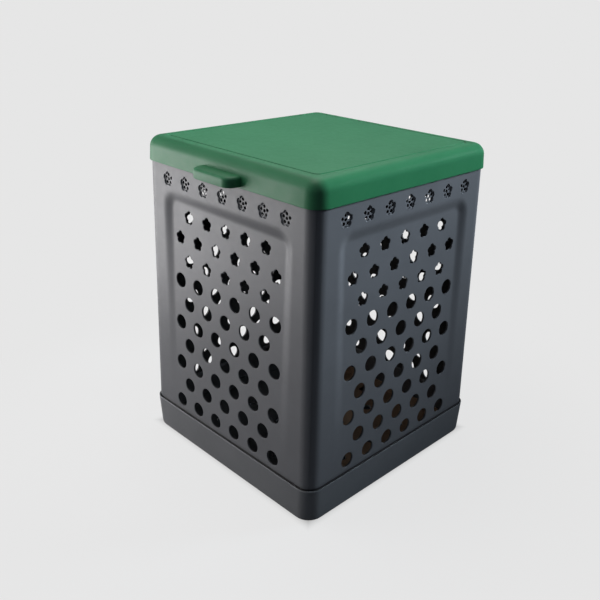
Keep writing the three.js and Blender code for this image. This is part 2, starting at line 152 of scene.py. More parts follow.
# To the camera the floor looks as pale as the backdrop, and right under the bin its glow fades
# out, as a painted contact shadow. To the bin it is a plain grey that throws a little light back
# on the walls' feet
floor_half = 6.0
blend_start, blend_end = 0.2, 0.5
painted_shadow_start, painted_shadow_end = 0.12, 0.152
floor_paint = bpy.data.materials.new("pale_floor")
floor_paint.use_nodes = True
floor_nodes = floor_paint.node_tree.nodes
floor_links = floor_paint.node_tree.links
floor_nodes.clear()
floor_rays = floor_nodes.new("ShaderNodeLightPath")
floor_dull = floor_nodes.new("ShaderNodeBsdfDiffuse")
floor_dull.inputs["Color"].default_value = (0.12, 0.12, 0.12, 1)
floor_matt = floor_nodes.new("ShaderNodeBsdfDiffuse")
floor_matt.inputs["Color"].default_value = (0.07, 0.07, 0.07, 1)
floor_glow = floor_nodes.new("ShaderNodeEmission")
floor_glow.inputs["Color"].default_value = (0.738, 0.738, 0.738, 1)
floor_far = floor_nodes.new("ShaderNodeEmission")
floor_far.inputs["Color"].default_value = pale
floor_sum = floor_nodes.new("ShaderNodeAddShader")
floor_place = floor_nodes.new("ShaderNodeTexCoord")
floor_reach = floor_nodes.new("ShaderNodeVectorMath")
floor_reach.operation = "LENGTH"
floor_fade = floor_nodes.new("ShaderNodeMapRange")
floor_fade.interpolation_type = "SMOOTHSTEP"
floor_fade.inputs["From Min"].default_value = blend_start
floor_fade.inputs["From Max"].default_value = blend_end
floor_sides = floor_nodes.new("ShaderNodeSeparateXYZ")
floor_along = floor_nodes.new("ShaderNodeMath")
floor_along.operation = "ABSOLUTE"
floor_across = floor_nodes.new("ShaderNodeMath")
floor_across.operation = "ABSOLUTE"
floor_widest = floor_nodes.new("ShaderNodeMath")
floor_widest.operation = "MAXIMUM"
floor_painted_shadow = floor_nodes.new("ShaderNodeMapRange")
floor_painted_shadow.interpolation_type = "SMOOTHSTEP"
floor_painted_shadow.inputs["From Min"].default_value = painted_shadow_start
floor_painted_shadow.inputs["From Max"].default_value = painted_shadow_end
floor_blend = floor_nodes.new("ShaderNodeMixShader")
floor_mix = floor_nodes.new("ShaderNodeMixShader")
floor_out = floor_nodes.new("ShaderNodeOutputMaterial")
floor_links.new(floor_matt.outputs[0], floor_sum.inputs[0])
floor_links.new(floor_glow.outputs[0], floor_sum.inputs[1])
floor_links.new(floor_place.outputs["Object"], floor_reach.inputs[0])
floor_links.new(floor_reach.outputs["Value"], floor_fade.inputs["Value"])
floor_links.new(floor_place.outputs["Object"], floor_sides.inputs[0])
floor_links.new(floor_sides.outputs["X"], floor_along.inputs[0])
floor_links.new(floor_sides.outputs["Y"], floor_across.inputs[0])
floor_links.new(floor_along.outputs[0], floor_widest.inputs[0])
floor_links.new(floor_across.outputs[0], floor_widest.inputs[1])
# Painted shadow: the floor's glow fades out under the bin's footprint
floor_links.new(floor_widest.outputs[0], floor_painted_shadow.inputs["Value"])
floor_links.new(floor_painted_shadow.outputs[0], floor_glow.inputs["Strength"])
floor_links.new(floor_fade.outputs[0], floor_blend.inputs[0])
floor_links.new(floor_sum.outputs[0], floor_blend.inputs[1])
floor_links.new(floor_far.outputs[0], floor_blend.inputs[2])
floor_links.new(floor_rays.outputs["Is Camera Ray"], floor_mix.inputs[0])
floor_links.new(floor_dull.outputs[0], floor_mix.inputs[1])
floor_links.new(floor_blend.outputs[0], floor_mix.inputs[2])
floor_links.new(floor_mix.outputs[0], floor_out.inputs[0])

floor_net = bpy.data.meshes.new("studio_floor")
floor_signs = ((-1, -1), (1, -1), (1, 1), (-1, 1))
floor_corners = [(x * floor_half, y * floor_half, 0) for x, y in floor_signs]
floor_net.from_pydata(floor_corners, [], [(0, 1, 2, 3)])
floor_net.materials.append(floor_paint)
studio_floor = bpy.data.objects.new("studio_floor", floor_net)
bpy.context.scene.collection.objects.link(studio_floor)


# The base tray is one moulding in dark grey plastic. Its rounded foot stands on the ground, its
# rim wraps outside the walls, and a low rib inside keeps the walls' feet in their channel. Drain
# holes let liquid out through its floor.

tray_rim_half = 146.8
tray_height = 43.3
tray_lean = 1.8
tray_floor = 3.0
tray_foot_radius = 4.0
tray_foot_steps = 9
tray_channel_half = 142.0
tray_rib_half = 138.7
tray_rib_top = 15.0
tray_rib_thickness = 2.2
tray_corner_offset = 128.4
tray_corner_swell = 3.6
tray_swell_height = 15.0
tray_groove_depth = 1.8
drain_radius = 6.0
drain_pitch = 56.0
drain_rows = 4
drain_steps = 24
drain_easing = 0.5
floor_shade_reach = 30.0
# Near-black painted shade for seams and for the floor inside the closed bin
painted_shade_colour = (0.045, 0.044, 0.044, 1)
MM = 0.001


class Moulding:
    """A moulded piece as it is built up: corners in millimetres, faces, where it wears, where it
    takes its second colour (a brown stain on the tray, painted shade inside the walls), and
    where painted shade darkens it."""

    def __init__(self):
        self.corners = []
        self.faces = []
        self.worn = []
        self.stain_and_shade = []
        self.painted_shade_marks = []

    def row(self, places, wear=0.0, stain_and_shade=0.0, painted_shade=0.0):
        first = len(self.corners)
        self.corners.extend(places)
        self.worn.extend([wear] * len(places))
        self.stain_and_shade.extend([stain_and_shade] * len(places))
        self.painted_shade_marks.extend([painted_shade] * len(places))
        return list(range(first, len(self.corners)))

    def strip(self, one, two, closed=False):
        turns = len(one) if closed else len(one) - 1
        for i in range(turns):
            j = (i + 1) % len(one)
            self.faces.append((one[i], one[j], two[j], two[i]))

    def skin(self, rows, closed=True):
        for one, two in zip(rows, rows[1:]):
            self.strip(one, two, closed)

    def net(self, corners, triangles):
        self.faces.extend(tuple(corners[i] for i in triangle) for triangle in triangles)

    def make(self, name, material, turn=0.0, sharp=38):
        mesh = bpy.data.meshes.new(name)
        spin = Matrix.Rotation(turn, 3, "Z")
        mesh.from_pydata([spin @ Vector(c) * MM for c in self.corners], [], self.faces)
        wear = mesh.attributes.new("wear", "FLOAT", "POINT")
        wear.data.foreach_set("value", self.worn)
        stain_and_shade = mesh.attributes.new("stain_and_shade", "FLOAT", "POINT")
        stain_and_shade.data.foreach_set("value", self.stain_and_shade)
        painted_shade = mesh.attributes.new("painted_shade", "FLOAT", "POINT")
        painted_shade.data.foreach_set("value", self.painted_shade_marks)
        work = bmesh.new()
        work.from_mesh(mesh)
        bmesh.ops.recalc_face_normals(work, faces=work.faces)
        for face in work.faces:
            face.smooth = True
        work.to_mesh(mesh)
        work.free()
        mesh.set_sharp_from_angle(angle=math.radians(sharp))
        mesh.materials.append(material)
        piece = bpy.data.objects.new(name, mesh)
        bpy.context.scene.collection.objects.link(piece)
        return piece


def square_ring(half, offset, height, flat_steps=10, corner_steps=8):
    """A rounded square in plan: offset is how far out the centres of its corners lie."""
    ring = []
    radius = half - offset
    for side in range(4):
        spin = Matrix.Rotation(side * math.pi / 2, 3, "Z")
        for i in range(flat_steps):
            ring.append(spin @ Vector((offset * (2 * i / flat_steps - 1), -half, height)))
        for i in range(corner_steps):
            angle = math.pi / 2 * i / corner_steps
            x = offset + radius * math.sin(angle)
            y = -offset - radius * math.cos(angle)
            ring.append(spin @ Vector((x, y, height)))
    return ring


def round_loop(radius, steps, place=(0, 0), start=0.0):
    turns = [start + 2 * math.pi * i / steps for i in range(steps)]
    return [(place[0] + radius * math.cos(a), place[1] + radius * math.sin(a)) for a in turns]


def is_inside(place, loop):
    inside = False
    for (ax, ay), (bx, by) in zip(loop, loop[1:] + loop[:1]):
        if (ay > place[1]) != (by > place[1]):
            if place[0] < ax + (place[1] - ay) * (bx - ax) / (by - ay):
                inside = not inside
    return inside


def pierced_net(places, loops, hole_count):
    """Triangles over flat places. Loops list their edges, and the first hole_count are holes."""
    edges = [(a, b) for loop in loops for a, b in zip(loop, loop[1:] + loop[:1])]
    found = delaunay_2d_cdt([Vector(p) for p in places], edges, [], 0, 1e-5)
    origin = [came_from[0] for came_from in found[3]]
    hole_of = {i: number for number in range(hole_count) for i in loops[number]}
    outlines = [[places[i] for i in loops[number]] for number in range(hole_count)]
    kept = []
    for triangle in found[2]:
        corners = [origin[i] for i in triangle]
        owners = {hole_of.get(i) for i in corners}
        owner = owners.pop() if len(owners) == 1 else None
        if owner is not None:
            middle = [sum(places[i][axis] for i in corners) / 3 for axis in (0, 1)]
            if is_inside(middle, outlines[owner]):
                continue
        kept.append(corners)
    return kept


def moulded_plastic(
    name, dark, light, rubbed, rough_low, rough_high, grain, waves, stain_and_shade_colour=None, gloss=0.5,
):
    """Satin moulded plastic: cloudy colour, paler worn edges, spark grain and slow waves. A piece
    that holds compost has a second colour too, on the faces marked for it: a brown compost stain
    on the tray, and near-black painted shade on the walls' inner faces. Dark painted shade also
    lies in its seams and on the shaded part of the tray's floor."""
    material = bpy.data.materials.new(name)
    material.use_nodes = True
    nodes, links = material.node_tree.nodes, material.node_tree.links
    shader = nodes["Principled BSDF"]
    place = nodes.new("ShaderNodeTexCoord")

    clouds = nodes.new("ShaderNodeTexNoise")
    clouds.inputs["Scale"].default_value = 16
    clouds.inputs["Detail"].default_value = 5
    clouds.inputs["Roughness"].default_value = 0.6
    links.new(place.outputs["Object"], clouds.inputs["Vector"])
    tones = nodes.new("ShaderNodeValToRGB")
    tones.color_ramp.elements[0].position = 0.3
    tones.color_ramp.elements[0].color = (*dark, 1)
    tones.color_ramp.elements[1].position = 0.7
    tones.color_ramp.elements[1].color = (*light, 1)
    links.new(clouds.outputs["Fac"], tones.inputs["Fac"])

    rubs = nodes.new("ShaderNodeTexNoise")
    rubs.inputs["Scale"].default_value = 130
    rubs.inputs["Detail"].default_value = 4
    links.new(place.outputs["Object"], rubs.inputs["Vector"])
    patches = nodes.new("ShaderNodeMapRange")
    patches.inputs["From Min"].default_value = 0.42
    patches.inputs["From Max"].default_value = 0.68
    links.new(rubs.outputs["Fac"], patches.inputs["Value"])
    edges = nodes.new("ShaderNodeAttribute")
    edges.attribute_name = "wear"
    worn = nodes.new("ShaderNodeMath")
    worn.operation = "MULTIPLY"
    links.new(patches.outputs[0], worn.inputs[0])
    links.new(edges.outputs["Fac"], worn.inputs[1])
    paint = nodes.new("ShaderNodeMix")
    paint.data_type = "RGBA"
    paint.inputs["B"].default_value = (*rubbed, 1)
    links.new(worn.outputs[0], paint.inputs["Factor"])
    links.new(tones.outputs["Color"], paint.inputs["A"])
    shader.inputs["Specular IOR Level"].default_value = gloss
    final_colour = paint
    if stain_and_shade_colour:
        # The second colour: a brown stain on the tray, near-black painted shade on the walls' inner
        # faces
        stain_and_shade = nodes.new("ShaderNodeAttribute")
        stain_and_shade.attribute_name = "stain_and_shade"
        stain_and_shade_mix = nodes.new("ShaderNodeMix")
        stain_and_shade_mix.data_type = "RGBA"
        stain_and_shade_mix.inputs["B"].default_value = (*stain_and_shade_colour, 1)
        links.new(stain_and_shade.outputs["Fac"], stain_and_shade_mix.inputs["Factor"])
        links.new(paint.outputs["Result"], stain_and_shade_mix.inputs["A"])
        # Painted shade: near-black where the mask marks seams and other shaded places
        painted_shade_node = nodes.new("ShaderNodeAttribute")
        painted_shade_node.attribute_name = "painted_shade"
        final_colour = nodes.new("ShaderNodeMix")
        final_colour.data_type = "RGBA"
        final_colour.inputs["B"].default_value = painted_shade_colour
        links.new(painted_shade_node.outputs["Fac"], final_colour.inputs["Factor"])
        links.new(stain_and_shade_mix.outputs["Result"], final_colour.inputs["A"])
        dull = nodes.new("ShaderNodeMapRange")
        dull.inputs["To Min"].default_value = gloss
        dull.inputs["To Max"].default_value = 0.04
        links.new(stain_and_shade.outputs["Fac"], dull.inputs["Value"])
        links.new(dull.outputs[0], shader.inputs["Specular IOR Level"])
    links.new(final_colour.outputs["Result"], shader.inputs["Base Color"])

    spark = nodes.new("ShaderNodeTexNoise")
    spark.inputs["Scale"].default_value = 1100
    spark.inputs["Detail"].default_value = 2
    links.new(place.outputs["Object"], spark.inputs["Vector"])
    sheen = nodes.new("ShaderNodeMapRange")
    sheen.inputs["From Min"].default_value = 0.25
    sheen.inputs["From Max"].default_value = 0.75
    sheen.inputs["To Min"].default_value = rough_low
    sheen.inputs["To Max"].default_value = rough_high
    links.new(rubs.outputs["Fac"], sheen.inputs["Value"])
    links.new(sheen.outputs[0], shader.inputs["Roughness"])

    swell = nodes.new("ShaderNodeTexNoise")
    swell.inputs["Scale"].default_value = 22
    swell.inputs["Detail"].default_value = 1
    links.new(place.outputs["Object"], swell.inputs["Vector"])
    slow = nodes.new("ShaderNodeBump")
    slow.inputs["Strength"].default_value = waves
    slow.inputs["Distance"].default_value = 0.0006
    links.new(swell.outputs["Fac"], slow.inputs["Height"])
    fine = nodes.new("ShaderNodeBump")
    fine.inputs["Strength"].default_value = grain
    fine.inputs["Distance"].default_value = 0.00012
    links.new(spark.outputs["Fac"], fine.inputs["Height"])
    links.new(slow.outputs["Normal"], fine.inputs["Normal"])
    links.new(fine.outputs["Normal"], shader.inputs["Normal"])
    return material


# Its second colour is a brown compost stain on the tray's inside
tray_plastic = moulded_plastic(
    "dark_grey_tray_plastic",
    dark=(0.14, 0.143, 0.148), light=(0.16, 0.163, 0.168), rubbed=(0.2, 0.202, 0.206),
    rough_low=0.44, rough_high=0.54, grain=0.35, waves=0.3, stain_and_shade_colour=(0.2, 0.132, 0.085),
)

tray = Moulding()
tray_profile = []
for i in range(tray_foot_steps + 1):
    angle = math.pi / 2 * i / tray_foot_steps
    foot = tray_rim_half - tray_lean - tray_foot_radius * (1 - math.sin(angle))
    rubbed = 0.4 if 1 < i < 6 else 0
    tray_profile.append((foot, tray_foot_radius * (1 - math.cos(angle)), rubbed))
for half, height, wear in (
    (tray_rim_half - tray_lean + 0.06, tray_foot_radius + 1.2, 0),
    (tray_rim_half - 0.1, tray_height - 2.4, 0),
    (tray_rim_half, tray_height - 1.2, 0.1),
    (tray_rim_half - 0.12, tray_height - 0.75, 0.1),
    (tray_rim_half - 0.4, tray_height - 0.45, 0.1),
    (tray_rim_half - 0.7, tray_height - 0.4, 0),
    (tray_rim_half - 0.9, tray_height - 0.5, 0),
    (tray_rim_half - 1.1, tray_height - 0.8, 0),
    (tray_rim_half - 1.2, tray_height - tray_groove_depth, 0),
    (tray_channel_half + 1.3, tray_height - tray_groove_depth, 0),
    (tray_channel_half + 1.2, tray_height - 0.3, 0),
    (tray_channel_half + 0.9, tray_height, 0),
    (tray_channel_half + 0.6, tray_height - 0.1, 0),
    (tray_channel_half, tray_height - 0.7, 0.1),
    (tray_channel_half, tray_floor + 0.8, 0),
    (tray_channel_half - 0.8, tray_floor, 0),
    (tray_rib_half + 0.5, tray_floor, 0),
    (tray_rib_half, tray_floor + 0.5, 0),
    (tray_rib_half, tray_rib_top - 0.4, 0.2),
    (tray_rib_half - 0.4, tray_rib_top, 0.4),
    (tray_rib_half - tray_rib_thickness + 0.4, tray_rib_top, 0.4),
    (tray_rib_half - tray_rib_thickness, tray_rib_top - 0.4, 0.2),
    (tray_rib_half - tray_rib_thickness, tray_floor + 0.6, 0),
    (tray_rib_half - tray_rib_thickness - 0.6, tray_floor, 0),
    (tray_rib_half - tray_rib_thickness - 1.6, tray_floor, 0),
):
    tray_profile.append((half, height, wear))
tray_rows = []
for half, height, wear in tray_profile:
    within = half <= tray_channel_half and height > tray_floor - 1
    swell = 0 if within else tray_corner_swell * max(0, 1 - height / tray_swell_height) ** 2
    # The groove round the rim's top, under the walls, is painted dark: painted shade in the seam
    in_groove = tray_channel_half < half < tray_rim_half - 0.8 and height > tray_height - 2
    ring = square_ring(half, tray_corner_offset - swell, height)
    tray_rows.append(tray.row(ring, wear, float(within), float(in_groove)))
tray.skin(tray_rows)

drain_lines = [(i - (drain_rows - 1) / 2) * drain_pitch for i in range(drain_rows)]
drain_places = [(x, y) for x in drain_lines for y in drain_lines]
for rim_row, face_height, edge_height in (
    (tray_rows[-1], tray_floor, tray_floor - drain_easing),
    (tray_rows[0], 0.0, drain_easing),
):
    plan = [tuple(tray.corners[i][:2]) for i in rim_row]
    rim = list(range(len(plan)))
    corners = list(rim_row)
    loops = []
    for place in drain_places:
        loops.append(list(range(len(plan), len(plan) + drain_steps)))
        ring = round_loop(drain_radius + drain_easing, drain_steps, place)
        plan.extend(ring)
        eased = [(x, y, face_height) for x, y in ring]
        corners.extend(tray.row(eased, 0, float(face_height > 0)))
    tray.net(corners, pierced_net(plan, [*loops, rim], len(loops)))
    edge_rows = []
    for place, loop in zip(drain_places, loops):
        ring = round_loop(drain_radius, drain_steps, place)
        edge = tray.row([(x, y, edge_height) for x, y in ring], 0.5)
        tray.strip([corners[i] for i in loop], edge, True)
        edge_rows.append(edge)
    if face_height:
        upper_edges = edge_rows
    else:
        for upper, lower in zip(upper_edges, edge_rows):
            tray.strip(upper, lower, True)

# Compost has stained the floor brown. Its front and left half is also painted near-black, as
# painted shade of the closed bin's dark inside
for i, (x, y, height) in enumerate(tray.corners):
    if tray.stain_and_shade[i] and x + y < floor_shade_reach:
        tray.painted_shade_marks[i] = 1.0

base_tray = tray.make("tray_moulding", tray_plastic)
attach(base_tray, "bin")
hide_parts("base_tray")


# The four walls are one panel moulded four times in grey plastic. Each has a field that sinks in
# towards the top, rows of round and flower-shaped holes in it, and shallow flower vents above. The
# panels meet on the corner ridges, where a thin tongue on one laps behind the next.

wall_foot_half = 144.4
wall_lean = 5.8
wall_base = 43.6
wall_top = 372.7
wall_corner = 16.0
wall_thickness = 2.5
wall_foot_low = 3.3
wall_foot_inset = 2.8
shelf_top = 46.2
shelf_depth = 5.3
skin_low = 48.4
ridge_turn = math.radians(45) - 0.15 / wall_corner
lap_turn = math.radians(22)
lap_inset = 1.4
cut_inset = 1.1
field_half = 95.5
field_top = 314.5
field_flush = 65.0
field_depth = 4.3
field_corner = 8.0
field_side_slope = 12.5
field_top_slope = 13.0
field_edge_blend = 0.1
field_edge_skew = 0.9
round_rows = 7
round_pitch = 26.954
round_radius = 9.1
round_steps = 30
star_rows = 3
star_pitch = 26.361
star_ring = 4.5
star_lobe = 3.5
lowest_row = 58.8
highest_row = 299.9
low_column_pitch = 34.0
top_column_pitch = 32.68
vent_count = 7
vent_height = 339.1
vent_pitch = 32.6
vent_ring = 4.7
vent_lobe = 3.7
vent_sink = 1.4
vent_hole = 1.7
vent_taper = 0.6
vent_hole_steps = 14
flower_steps = 50
rim_width = 0.8
skin_top = wall_top - 0.6
level_steps = 34
column_steps = 24


def wall_half(height):
    return wall_foot_half - wall_lean * (height - wall_base) / (wall_top - wall_base)


def wall_place(along, height, inset, half=None):
    """A place on the front panel: along is measured round the corners on the outer face."""
    flat = (wall_half(height) if half is None else half) - wall_corner
    turn = max(abs(along) - flat, 0) / wall_corner
    deep = wall_corner - inset
    side = math.copysign(1, along)
    x = side * (min(abs(along), flat) + deep * math.sin(turn))
    return (x, -flat - deep * math.cos(turn), height)


def field_sink(x, z):
    """How far the field lies behind the panel's face at a place, with its soft sloping sides."""
    across = max(abs(x) - field_half + field_corner, 0)
    above = max(z - field_top + field_corner, 0)
    out = math.hypot(across, above) - field_corner
    lean = (above / math.hypot(across, above)) ** 2 if above else 0
    share = out / (field_side_slope + (field_top_slope - field_side_slope) * lean)
    share = (share + field_edge_blend) / (1 + 2 * field_edge_blend)
    share = min(max(share, 0), 1) ** field_edge_skew
    depth = field_depth * max(min(z, field_top) - field_flush, 0) / (field_top - field_flush)
    return depth * (1 - share * share * (3 - 2 * share))


def flower_loop(ring, lobe, grow, steps, place):
    """The outline of five round lobes on a ring, one at the top. A ring of 0 gives one circle."""
    loop = []
    fifth = 2 * math.pi / 5
    for i in range(steps):
        angle = math.pi / 2 + 2 * math.pi * i / steps
        off = (angle - math.pi / 2 + fifth / 2) % fifth - fifth / 2
        rest = (lobe + grow) ** 2 - (ring * math.sin(off)) ** 2
        out = ring * math.cos(off) + math.sqrt(max(rest, 0.3))
        loop.append((place[0] + out * math.cos(angle), place[1] + out * math.sin(angle)))
    return loop


def hole_rows(rows, lowest, pitch, before):
    """Centres of rows of six and five holes by turns, in columns that draw together upward."""
    places = []
    for line in range(rows):
        height = lowest + line * pitch
        rise = (height - lowest_row) / (highest_row - lowest_row)
        column = low_column_pitch + (top_column_pitch - low_column_pitch) * rise
        count = 5 if (line + before) % 2 else 6
        places.extend(((i - (count - 1) / 2) * column, height) for i in range(count))
    return places


star_lowest = highest_row - (star_rows - 1) * star_pitch
round_places = hole_rows(round_rows, lowest_row, round_pitch, 0)
star_places = hole_rows(star_rows, star_lowest, star_pitch, round_rows)
vent_places = [((i - (vent_count - 1) / 2) * vent_pitch, vent_height) for i in range(vent_count)]
wall_holes = [(place, 0.0, round_radius, round_steps) for place in round_places]
wall_holes += [(place, star_ring, star_lobe, flower_steps) for place in star_places]
vent_pockets = [(place, vent_ring, vent_lobe, flower_steps) for place in vent_places]

# Heights and columns of the panel's plan, with close pairs where the face starts to turn
levels = [skin_low + (skin_top - skin_low) * i / level_steps for i in range(level_steps + 1)]
cut_turn = ridge_turn - lap_turn - 0.02
arc_turns = [0, 0.13, 0.26, cut_turn - 0.002, cut_turn + 0.002, 0.52, 0.65]
arc_turns += [ridge_turn - 0.02, ridge_turn]


def panel_columns(height):
    """Where a level of the panel has its places: round both corners, and across the flat."""
    flat = wall_half(height) - wall_corner
    arcs = [flat + turn * wall_corner for turn in arc_turns]
    fills = [flat * (2 * i / column_steps - 1) for i in range(1, column_steps)]
    return [-a for a in reversed(arcs)] + [-flat + 1.2] + fills + [flat - 1.2] + arcs


plan = []
wall_loops = []
for place, ring, lobe, steps in wall_holes + vent_pockets:
    wall_loops.append(list(range(len(plan), len(plan) + steps)))
    plan.extend(flower_loop(ring, lobe, rim_width, steps, place))
arc_count = len(arc_turns)
bottom_row, top_row, left_column, right_column = [], [], [], []
for number, height in enumerate(levels):
    columns = panel_columns(height)
    whole = number in (0, len(levels) - 1)
    kept = columns if whole else columns[:arc_count + 1] + columns[-arc_count - 1:]
    first = len(plan)
    plan.extend((along, height) for along in kept)
    line = list(range(first, len(plan)))
    left_column.append(line[0])
    right_column.append(line[-1])
    if number == 0:
        bottom_row = line
    if number == len(levels) - 1:
        top_row = line


def is_clear(x, z, margin):
    for (cx, cz), ring, lobe, steps in wall_holes + vent_pockets:
        if math.hypot(x - cx, z - cz) < ring + lobe + margin:
            return False
    return True


# Lines that follow the field's soft edge, close enough together to round it
edge_lines = 10
edge_from_share, edge_span_share = -0.22, 1.44
side_steps, bend_steps, head_steps = 60, 8, 22
for step in range(edge_lines + 1):
    out = field_side_slope * (edge_from_share + edge_span_share * step / edge_lines)
    radius = field_corner + out
    side, top = field_half - field_corner, field_top - field_corner
    low = field_flush + 2
    line = [(side + radius, low + (top - low) * i / side_steps) for i in range(side_steps)]
    for i in range(bend_steps + 1):
        angle = math.pi / 2 * i / bend_steps
        squeeze = 1 + (field_top_slope / field_side_slope - 1) * math.sin(angle) ** 2
        grown = field_corner + out * squeeze
        line.append((side + grown * math.cos(angle), top + grown * math.sin(angle)))
    height = line[-1][1]
    line += [(side * (1 - i / head_steps), height) for i in range(1, head_steps + 1)]
    line += [(-x, z) for x, z in reversed(line[:-1])]
    plan.extend((x, z) for x, z in line if is_clear(x, z, 2.2))

# Loose places that keep the triangles even: within the field, down both sides and across the head
fill_low, fill_across, fill_up, fill_shift = 52, 22, 21, 6
for i in range(-5, 6):
    for j in range(14):
        x, z = i * fill_across + (fill_shift if j % 2 else 0), fill_low + j * fill_up
        if is_clear(x, z, 4) and abs(x) < field_half - 6 and z < field_top - 6:
            plan.append((x, z))
side_place, side_pitch = 118.0, 10.7
for side in (-1, 1):
    for j in range(30):
        if is_clear(side * side_place, fill_low + j * side_pitch, 4):
            plan.append((side * side_place, fill_low + j * side_pitch))
head_heights, head_pitch = (329.3, 351.5, 361.0), 10.0
for i in range(-11, 12):
    for z in head_heights:
        if is_clear(i * head_pitch, z, 1.5):
            plan.append((i * head_pitch, z))

border = bottom_row + right_column[1:-1] + top_row[::-1] + left_column[-2:0:-1]
panel_net = pierced_net(plan, [*wall_loops, border], len(wall_loops))

# One vent's floor: a hole in the middle and one in each lobe
vent_plan = flower_loop(vent_ring, vent_lobe, -vent_taper, flower_steps, (0, 0))
vent_rim = list(range(flower_steps))
vent_loops = []
vent_centres = [(0, 0)] + round_loop(vent_ring, 5, (0, 0), math.pi / 2)
for centre in vent_centres:
    vent_loops.append(list(range(len(vent_plan), len(vent_plan) + vent_hole_steps)))
    vent_plan.extend(round_loop(vent_hole + 0.2, vent_hole_steps, centre))
vent_net = pierced_net(vent_plan, [*vent_loops, vent_rim], len(vent_loops))


def inner_inset(along, height):
    flat = wall_half(height) - wall_corner
    return cut_inset if along < -flat - wall_corner * cut_turn else wall_thickness


def wall_panel():
    panel = Moulding()

    def lay(loop, inset, wear=0.0, stain_and_shade=0.0):
        return panel.row([wall_place(x, z, inset + field_sink(x, z)) for x, z in loop], wear, stain_and_shade)

    sunk = [(x, z, field_sink(x, z)) for x, z in plan]
    outer = panel.row([wall_place(x, z, sink) for x, z, sink in sunk])
    # The inner face is painted near-black: painted shade of the closed bin's dark inside
    inner = panel.row([wall_place(x, z, inner_inset(x, z) + sink) for x, z, sink in sunk], 0, 1)
    panel.net(outer, panel_net)
    panel.net(inner, panel_net)

    # Holes, with a softly rounded rim on both faces
    for (place, ring, lobe, steps), loop in zip(wall_holes, wall_loops):
        rows = [[outer[i] for i in loop]]
        # Down each hole's throat the rows are painted darker towards the inner face: painted shade
        for grow, inset, wear, stain_and_shade in (
            (0.25, 0.0, 0.1, 0), (0.07, 0.06, 0.5, 0), (0.0, 0.22, 0.3, 0.3),
            (0.0, wall_thickness - 0.2, 0, 1), (0.2, wall_thickness, 0, 1),
        ):
            rows.append(lay(flower_loop(ring, lobe, grow, steps, place), inset, wear, stain_and_shade))
        rows.append([inner[i] for i in loop])
        panel.skin(rows)

    # Vents: a shallow flower pocket, then small holes through what is left of the wall
    for place, loop in zip(vent_places, wall_loops[len(wall_holes):]):
        rows = [[outer[i] for i in loop]]
        for grow, inset, wear in (
            (0.25, 0.0, 0.1), (0.06, 0.07, 0.5), (-0.08, 0.25, 0.2), (-0.35, vent_sink - 0.2, 0),
        ):
            pocket = flower_loop(vent_ring, vent_lobe, grow, flower_steps, place)
            rows.append(lay(pocket, inset, wear))
        seat = [(place[0] + x, place[1] + z) for x, z in vent_plan]
        front_floor = lay(seat, vent_sink)
        # The vent's back floor is painted near-black: painted shade
        back_floor = lay(seat, wall_thickness, 0, 1)
        panel.skin([*rows, front_floor[:flower_steps]])
        panel.net(front_floor, vent_net)
        panel.net(back_floor, vent_net)
        panel.strip([inner[i] for i in loop], back_floor[:flower_steps], True)
        for centre, small in zip(vent_centres, vent_loops):
            middle = (place[0] + centre[0], place[1] + centre[1])
            # The small holes' throats are partly painted dark: painted shade
            throat = lay(round_loop(vent_hole, vent_hole_steps, middle), vent_sink + 0.2, 0, 0.4)
            mouth, back = [front_floor[i] for i in small], [back_floor[i] for i in small]
            panel.skin([mouth, throat, back])

    # Top edge
    def edge_row(line, height, inset, wear, painted_shade=0.0):
        places = [(plan[i][0], wall_half(plan[i][1])) for i in line]
        row = [wall_place(along, height, inset, half) for along, half in places]
        return panel.row(row, wear, 0.0, painted_shade)

    head = [[outer[i] for i in top_row]]
    for height, inset in ((wall_top - 0.15, 0.15), (wall_top, 0.6), (wall_top, 1.0)):
        head.append(edge_row(top_row, height, inset, 0.7))
    head.append([inner[i] for i in top_row])
    panel.skin(head, False)

    # The rounded lower edge over the tray's rim, then the foot down into its channel and back up.
    # Every row set in from the face is painted dark, as painted shade in the seam over the rim
    foot = [[outer[i] for i in bottom_row]]
    for height, inset in (
        (wall_base + 1.0, 0), (wall_base + 0.65, 0.12), (wall_base + 0.45, 0.4),
        (wall_base + 0.4, 1.2), (wall_base, 1.4), (wall_base, wall_foot_inset),
        (wall_foot_low + 0.6, wall_foot_inset), (wall_foot_low, wall_foot_inset + 0.6),
        (wall_foot_low, shelf_depth - 0.6), (wall_foot_low + 0.6, shelf_depth),
        (shelf_top - 0.5, shelf_depth), (shelf_top, shelf_depth - 0.5),
    ):
        foot.append(edge_row(bottom_row, height, inset, 0, float(inset > 0.1)))
    foot.append([inner[i] for i in bottom_row])
    panel.skin(foot, False)

    # Ends on the corner ridges, and the tongue that laps behind the next panel
    for column, end in ((left_column, 0), (right_column, -1)):
        panel.strip([outer[i] for i in column], [inner[i] for i in column])
        panel.faces.append(tuple(line[end] for line in head))
        panel.faces.append(tuple(line[end] for line in foot))
    tongue = []
    for height in levels:
        flat = wall_half(height) - wall_corner
        start = flat + wall_corner * ridge_turn
        turns = [wall_corner * lap_turn * i / 4 for i in range(5)]
        section = [wall_place(start + turn, height, lap_inset) for turn in turns]
        section += [wall_place(start + turn, height, wall_thickness) for turn in reversed(turns)]
        tongue.append(panel.row(section))
    panel.skin(tongue, False)
    panel.faces.append(tuple(tongue[0]))
    panel.faces.append(tuple(tongue[-1]))
    return panel


# Its second colour, near-black, is painted shade for the walls' inner faces and throats
wall_plastic = moulded_plastic(
    "grey_wall_plastic",
    dark=(0.122, 0.124, 0.13), light=(0.14, 0.142, 0.149), rubbed=(0.19, 0.192, 0.198),
    rough_low=0.42, rough_high=0.52, grain=0.35, waves=0.3, stain_and_shade_colour=(0.03, 0.029, 0.028),
)

